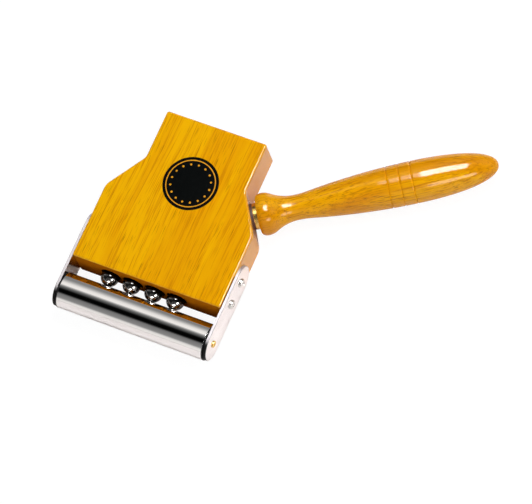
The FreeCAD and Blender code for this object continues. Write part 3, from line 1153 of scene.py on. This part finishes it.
@dataclass
class Straps:
    """The two steel straps and the four screws that hold them."""

    maker: Maker
    face: float = 58.4
    rows: dict[str, float] = field(default_factory=lambda: {"front": -51.5, "rear": STRAP_REAR_Y})
    seed: int = 5
    crease: float = 30.0
    head_radius: float = 3.3
    head_height: float = 2.0
    head_rim: float = 0.8
    head_chamfer: float = 0.15
    dome_steps: int = 10
    shank_radius: float = 1.75
    shank_length: float = 14.0
    point_length: float = 2.6
    turns: int = 48
    recess_reach: float = 1.85
    recess_width: float = 0.8
    recess_depth: float = 1.2
    recess_lid: float = 0.4
    recess_taper: Pair = (0.45, 1.15)
    wing_base: float = 0.55

    def build(self) -> None:
        """Dress the straps and set their screws."""
        self.maker.dress(Finishes.POLISHED_STEEL, "strap_left", "strap_right")
        self.screws()

    def screw(self) -> Object:
        """One pan-head screw that points down -X, its head's seat at the origin."""
        rim, top, radius, chamfer = self.head_rim, self.head_height, self.head_radius, self.head_chamfer
        angles = [k / self.dome_steps * math.pi / 2 for k in range(1, self.dome_steps)]
        outline = [
            (-self.shank_length, 0.0),
            (self.point_length - self.shank_length, self.shank_radius),
            (0.0, self.shank_radius),
            (0.0, radius - chamfer),
            (chamfer, radius),
            (rim, radius),
            *((rim + (top - rim) * math.sin(a), radius * math.cos(a)) for a in angles),
            (top, 0.0),
        ]
        plan = Turning("screw", outline, (0.0, 0.0, 0.0), ALONG_X, Finishes.SCREW_STEEL, self.turns)
        head = self.maker.lathe.turn(plan, self.maker.paints[plan.finish])
        self.cut_recess(head)
        return head

    def cut_recess(self, head: Object) -> None:
        """Cut the cross recess, whose wings taper to its floor, into a screw's head."""
        shell = bmesh.new()
        levels = (self.head_height - self.recess_depth, self.head_height + self.recess_lid)
        for turn in (0.0, math.pi / 2):
            corners = []
            for x, share in zip(levels, self.recess_taper):
                reach = self.recess_reach * share
                half = self.recess_width / 2 * (self.wing_base + (1 - self.wing_base) * share)
                corners += [(x, -reach, -half), (x, reach, -half), (x, reach, half), (x, -reach, half)]
            spin = Matrix.Rotation(turn, 3, "X")
            verts = [shell.verts.new(spin @ Vector(c) * MM) for c in corners]
            for face in ((3, 2, 1, 0), (4, 5, 6, 7), (0, 1, 5, 4), (1, 2, 6, 5), (2, 3, 7, 6), (3, 0, 4, 7)):
                shell.faces.new([verts[i] for i in face])
        bmesh.ops.recalc_face_normals(shell, faces=shell.faces)
        mesh = bpy.data.meshes.new("recess")
        shell.to_mesh(mesh)
        shell.free()
        cutter = linked("recess", mesh)
        cut = head.modifiers.new("recess", "BOOLEAN")
        cut.operation, cut.solver, cut.use_self, cut.object = "DIFFERENCE", "EXACT", True, cutter
        settle(head)
        scrap(cutter)

    def screws(self) -> None:
        """Set one screw at each seat, its recess turned at random."""
        recipe = Recipe("strap_screws", Seats="Object", Screw="Object", Seed="Int")
        board = recipe.board
        settings = {"data_type": "FLOAT_VECTOR"}
        outward = board.node("GeometryNodeInputNamedAttribute", {"Name": "outward"}, settings)
        aim = board.node("FunctionNodeAlignRotationToVector", {"Vector": board.term(outward)}, {"axis": "X"})
        sockets = {"Min": 0.0, "Max": math.pi / 2, "Seed": recipe.given("Seed")}
        chance = board.node("FunctionNodeRandomValue", sockets, {"data_type": "FLOAT"})
        spin = board.node("FunctionNodeAxisAngleToRotation", {"Axis": ALONG_X, "Angle": board.term(chance)})
        sockets = {"Rotation": board.term(aim), "Rotate By": board.term(spin)}
        both = board.node("FunctionNodeRotateRotation", sockets, {"rotation_space": "LOCAL"})
        sockets = {"Points": recipe.shape("Seats"), "Instance": recipe.shape("Screw")}
        sockets["Rotation"] = board.term(both)
        recipe.close(board.node("GeometryNodeInstanceOnPoints", sockets))
        places = [(sign, y) for sign in (-1.0, 1.0) for y in self.rows.values()]
        mesh = bpy.data.meshes.new("seats")
        mesh.from_pydata([Vector((sign * self.face, y, MIDDLE)) * MM for sign, y in places], [], [])
        ways = mesh.attributes.new("outward", "FLOAT_VECTOR", "POINT")
        ways.data.foreach_set("vector", [part for sign, _ in places for part in (sign, 0.0, 0.0)])
        values = {
            "Seats": linked("seats", mesh),
            "Screw": self.screw(),
            "Seed": self.seed,
            "Finish": self.maker.paints[Finishes.SCREW_STEEL],
        }
        made = recipe.grow("strap_screws", values, self.crease)
        scrap(values["Seats"], values["Screw"])
        nodes = [f"strap_screw_{side}_{row}" for side in ("left", "right") for row in self.rows]
        self.maker.mount(made, "body", "screw_steel", nodes)


@dataclass
class Balls:
    """The loose steel balls, each on its own body."""

    maker: Maker
    radius: float = 6.35
    fineness: int = 6

    def build(self) -> None:
        """Grow each ball at its own place in the row."""
        recipe = Recipe("ball_row", First="Vector", Pitch="Float", Place="Int", Radius="Float")
        board, given = recipe.board, recipe.given
        x, y, z = board.axes(given("First"))
        at = board.joined(x + given("Place") * given("Pitch"), y, z)
        spot = board.node("GeometryNodePoints", {"Count": 1, "Position": at})
        sockets = {"Radius": given("Radius"), "Subdivisions": self.fineness}
        ball = board.node("GeometryNodeMeshIcoSphere", sockets)
        sockets = {"Points": spot.outputs[0], "Instance": ball.outputs["Mesh"]}
        recipe.close(board.node("GeometryNodeInstanceOnPoints", sockets))
        values = {
            "First": Vector(FIRST_BALL) * MM,
            "Pitch": BALL_PITCH * MM,
            "Radius": self.radius * MM,
            "Finish": self.maker.paints[Finishes.BALL_STEEL],
        }
        for number in range(BALL_COUNT):
            body = f"ball_{number + 1}"
            made = recipe.grow(f"steel_{body}", values | {"Place": number})
            self.maker.mount(made, body, "ball_steel", [body])


# ---- the studio


@dataclass
class Softbox:
    """A rectangular lamp that faces a point, in metres.

    Shines says whether metal and lacquer mirror it, lights whether it lights what is matt.
    """

    name: str
    place: Point
    size: Pair
    radiance: float
    long_way: Point = ALONG_X
    aim: Point = (0.0, 0.0, 0.0)
    shines: bool = True
    lights: bool = True

    def build(self) -> None:
        """Hang the lamp."""
        data = bpy.data.lights.new(self.name, "AREA")
        data.shape = "RECTANGLE"
        data.size, data.size_y = self.size
        data.energy = self.radiance * math.pi * self.size[0] * self.size[1]
        lamp = linked(self.name, data)
        back = (Vector(self.place) - Vector(self.aim)).normalized()
        side = (Vector(self.long_way) - back * Vector(self.long_way).dot(back)).normalized()
        turn = Matrix((side, back.cross(side), back)).transposed()
        lamp.matrix_world = Matrix.Translation(self.place) @ turn.to_4x4()
        lamp.visible_glossy, lamp.visible_diffuse = self.shines, self.lights


OVER_HANDLE: Point = (0.11, 0.055, 0.0)  # in metres


@dataclass
class Studio:
    """Floor, lamps, surroundings and camera.

    Tube_lean is the X of what the tube mirrors to the eye, with its sign changed. The spans say how far from
    it the bands fade, and what lies beyond them turns dark.
    """

    floor_level: float = -1.05
    floor_half: float = 6000.0
    fill: float = 0.20
    aside: float = 0.03
    beyond_share: float = 0.6
    tube_lean: float = 0.317
    band_skew: float = 150.0
    skew_reach: float = 0.1
    band_end: Pair = (0.10, 0.22)
    beyond_start: Pair = (0.24, 0.36)
    warmth: Pair = (0.05, 0.04)
    eye: Point = (760.35, -678.18, 2191.38)
    right: Point = (0.901944, 0.398998, -0.165217)
    upward: Point = (-0.318293, 0.872762, 0.370103)
    lens: float = 236.842
    sensor: float = 36.0
    clip: Pair = (0.05, 100.0)
    softboxes: tuple[Softbox, ...] = (
        Softbox("key", (0.14, 0.40, 0.98), (0.40, 0.30), 13.0, shines=False),
        Softbox("right", (0.85, 0.32, 0.62), (0.50, 0.40), 5.8, (0.0, 1.0, 0.0), shines=False),
        Softbox("front", (0.50, -0.70, 0.55), (0.40, 0.30), 4.2, shines=False),
        Softbox("overhead", (-0.7, -0.3, 1.2), (0.8, 0.8), 2.4, shines=False),
        Softbox("gleam", (0.202, 0.304, 0.98), (0.38, 0.51), 34.0, ALONG_HANDLE, OVER_HANDLE, lights=False),
        Softbox("trail", (0.012, 0.189, 0.98), (0.24, 0.36), 7.0, ALONG_HANDLE, OVER_HANDLE, lights=False),
        Softbox("kicker", (0.80, -0.485, 0.53), (0.46, 0.30), 9.0, ALONG_HANDLE, OVER_HANDLE, lights=False),
    )
    # What metal mirrors round the tube's axis: degrees from +Y over the top, and the level.
    round_tube: tuple[Pair, ...] = (
        (0, 0.02), (4, 0.17), (14, 0.26), (22, 0.22), (32, 0.31), (41, 0.48), (50, 0.74), (58, 0.88),
        (67, 0.92), (71, 0.82), (75, 0.50), (80, 0.24), (87, 0.11), (93, 0.06), (98, 0.012), (103, 0.001),
        (121, 0.001), (126, 0.05), (130, 0.15), (136, 0.20), (148, 0.24), (156, 0.28), (161, 0.48),
        (166, 0.76), (174, 0.84), (180, 0.86),
    )

    def build(self) -> None:
        """Set everything up round the rattle."""
        self.floor()
        self.surroundings()
        for softbox in self.softboxes:
            softbox.build()
        self.camera()
        bpy.context.scene.view_settings.view_transform = "Standard"

    def floor(self) -> None:
        """The pale floor that the rattle lies on."""
        half = self.floor_half * MM
        square = ((-half, -half), (half, -half), (half, half), (-half, half))
        mesh = bpy.data.meshes.new("floor")
        mesh.from_pydata([(x, y, self.floor_level * MM) for x, y in square], [], [(0, 1, 2, 3)])
        mesh.materials.append(StagePaper("floor_paper").material())
        linked("floor", mesh)

    def surroundings(self) -> None:
        """White where it is seen, banded where metal mirrors it, and an even fill for soft light."""
        world = bpy.data.worlds.new("studio")
        bpy.context.scene.world = world
        world.use_nodes = True
        board = Board(world.node_tree)
        x, y, z = board.axes(board.term(board.node("ShaderNodeTexCoord"), "Generated"))
        lean = x + self.tube_lean
        held = lean.maths("MAXIMUM", -self.skew_reach).maths("MINIMUM", self.skew_reach)
        angle = abs(z).maths("ARCTAN2", y) / math.pi + held * (self.band_skew / 180)
        warm, cool = self.warmth
        stops = [(d / 180, (v * (1 + warm * v), v, v * (1 - cool * v))) for d, v in self.round_tube]
        bands = board.term(board.node("ShaderNodeValToRGB", {"Fac": angle}, {"stops": stops}), "Color")
        beyond = (abs(lean).rise(*self.beyond_start) * self.beyond_share).mix((self.aside,) * 3, bands)
        mirrored = abs(lean).rise(*self.band_end).mix(bands, beyond)
        eye, mirror = seen_directly(board)
        seen = eye.mix(mirror.mix((self.fill,) * 3, mirrored), (1.0, 1.0, 1.0))
        sky = board.node("ShaderNodeBackground", {"Color": seen, "Strength": 1.0})
        board.node("ShaderNodeOutputWorld", {"Surface": sky.outputs[0]})

    def camera(self) -> None:
        """The camera, at the photograph's place."""
        data = bpy.data.cameras.new("camera")
        data.lens, data.sensor_width = self.lens, self.sensor
        data.clip_start, data.clip_end = self.clip
        camera = linked("camera", data)
        right, upward = Vector(self.right), Vector(self.upward)
        turn = Matrix((right, upward, right.cross(upward))).transposed()
        camera.matrix_world = Matrix.Translation(Vector(self.eye) * MM) @ turn.to_4x4()
        bpy.context.scene.camera = camera


def main() -> None:
    """Build the rattle and its studio."""
    logging.basicConfig(level=logging.INFO, format="%(message)s")
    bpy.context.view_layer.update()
    maker = Maker(Paints(), Lathe())
    for assembly in (Block(maker), Handle(maker), Roller(maker), Straps(maker), Balls(maker), Studio()):
        LOG.info("-- %s", type(assembly).__name__)
        assembly.build()


if __name__ == "__main__":
    main()
